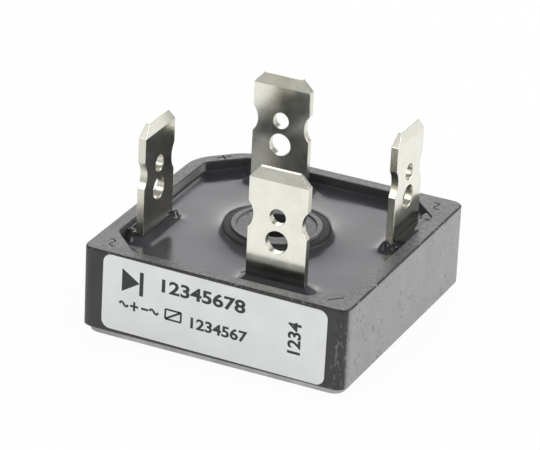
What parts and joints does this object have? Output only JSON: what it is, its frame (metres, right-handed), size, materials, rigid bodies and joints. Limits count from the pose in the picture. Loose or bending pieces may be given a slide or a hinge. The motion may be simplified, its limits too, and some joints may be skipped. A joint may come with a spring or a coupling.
{
  "type": "bridge rectifier",
  "caption": "Square potted bridge rectifier with push-on blade terminals, a central mounting hole, a metal base plate and a cut corner at the positive blade.",
  "frame": {"origin": "centre of the mounting hole on the underside of the base plate", "axes": "+Z along the mounting hole and the blades, away from the heat sink; +X along the labelled wall; +Y from the labelled wall to the wall behind it"},
  "size_m": [0.0286, 0.0286, 0.0204],
  "materials": {
    "case_plastic": "fine sandblasted moulding texture, scuffed edges",
    "plate_metal": "dull plated",
    "resin": "glossy poured resin",
    "tinned_blade": "bright tin on brass, stamped edges",
    "paper": "satin self-adhesive paper with plain black print",
    "ceramic": "as fired",
    "solder": "dull solder",
    "copper": "bare copper",
    "silicon": "dark glassy chip"
  },
  "bodies": {
    "root": {"case": "case_plastic", "base_plate": "plate_metal", "potting": "resin", "label": "paper", "substrate": "ceramic", "substrate_solder": "solder", "positive_pad": "copper", "negative_pad": "copper", "ac_1_pad": "copper", "ac_2_pad": "copper", "positive_terminal": "tinned_blade", "negative_terminal": "tinned_blade", "ac_1_terminal": "tinned_blade", "ac_2_terminal": "tinned_blade", "positive_solder": "solder", "negative_solder": "solder", "ac_1_solder": "solder", "ac_2_solder": "solder", "die_1": "silicon", "die_solder_1": "solder", "clip_1": "copper", "clip_top_solder_1": "solder", "clip_foot_solder_1": "solder", "die_2": "silicon", "die_solder_2": "solder", "clip_2": "copper", "clip_top_solder_2": "solder", "clip_foot_solder_2": "solder", "die_3": "silicon", "die_solder_3": "solder", "clip_3": "copper", "clip_top_solder_3": "solder", "clip_foot_solder_3": "solder", "die_4": "silicon", "die_solder_4": "solder", "clip_4": "copper", "clip_top_solder_4": "solder", "clip_foot_solder_4": "solder"}
  },
  "joints": []
}
